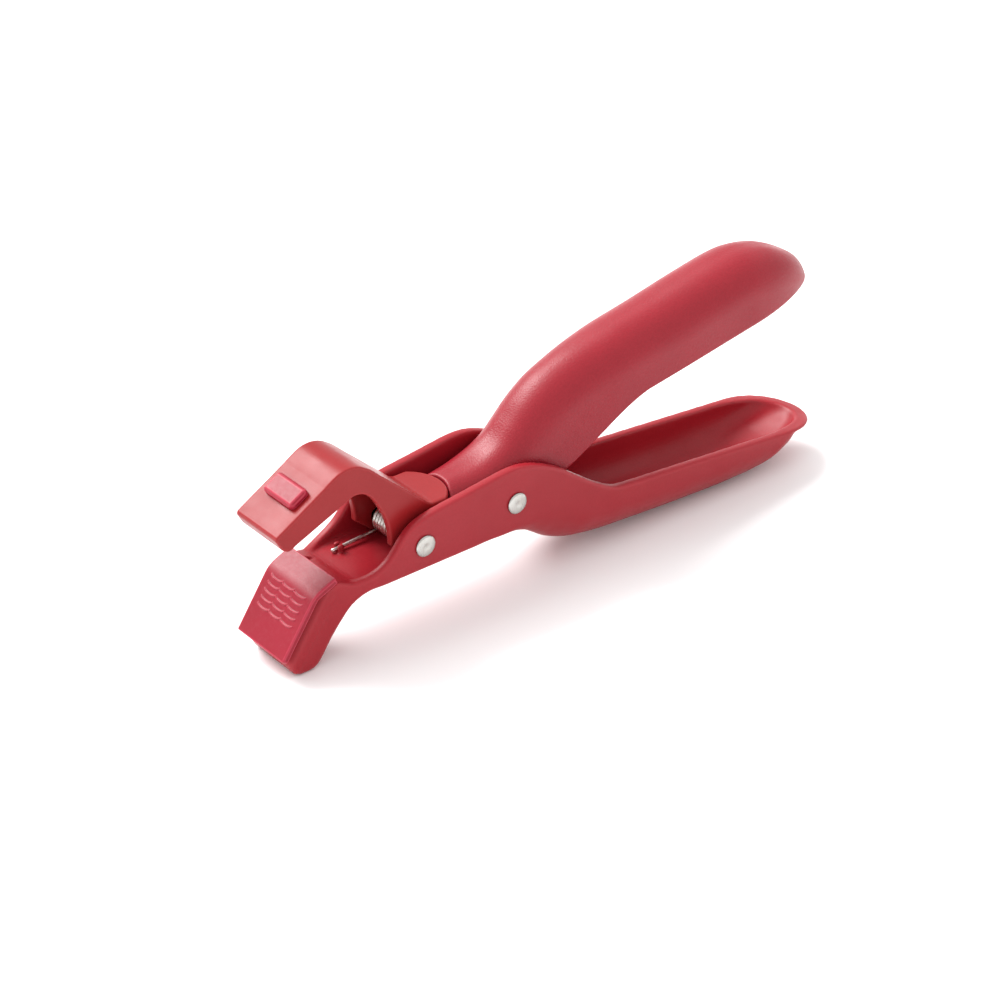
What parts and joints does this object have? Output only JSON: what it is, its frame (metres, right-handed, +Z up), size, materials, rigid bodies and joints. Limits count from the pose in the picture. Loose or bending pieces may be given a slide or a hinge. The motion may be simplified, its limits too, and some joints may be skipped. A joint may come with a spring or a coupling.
{
  "type": "kitchen gripper clip",
  "caption": "Spring-open kitchen gripper clip: squeezing a hollow lever towards a trough-shaped grip closes a padded upper jaw onto a padded lower jaw, for lifting hot bowls and plates.",
  "frame": {"origin": "on the table, under the middle of the length and width", "axes": "+X runs from the jaws to the tail of the grips, +Y across to the far side wall, +Z up"},
  "size_m": [0.2018, 0.0306, 0.0738],
  "materials": {
    "body_plastic": "satin, very fine moulded grain",
    "handle_plastic": "satin with a fine pebbled grip grain",
    "arm_plastic": "smooth satin",
    "silicone": "soft satin",
    "rivet_steel": "satin",
    "spring_steel": "drawn wire"
  },
  "bodies": {
    "body": {"base_body": "body_plastic", "lower_jaw_pad": "silicone", "front_rivet_barrel": "rivet_steel", "front_rivet_stud": "rivet_steel", "rear_rivet_barrel": "rivet_steel", "rear_rivet_stud": "rivet_steel", "torsion_spring": "spring_steel"},
    "handle": {"upper_handle": "handle_plastic"},
    "jaw": {"jaw_arm": "arm_plastic", "upper_jaw_pad": "silicone"}
  },
  "joints": [
    {"name": "handle_pivot", "type": "hinge", "parent": "body", "child": "handle", "pos_m": [-0.022, 0, 0.0293], "axis": [0, 1, 0], "range_deg": [0, 19.5]},
    {"name": "jaw_pivot", "type": "hinge", "parent": "body", "child": "jaw", "pos_m": [-0.0543, 0, 0.028], "axis": [0, 1, 0], "range_deg": [-30.75, 0], "stiffness_Nm_per_rad": 0.07, "springref_deg": 89.95, "deforming": ["torsion_spring"]}
  ],
  "couplings": [
    {"joint": "jaw_pivot", "follows": "handle_pivot", "ratio": -1.577}
  ]
}
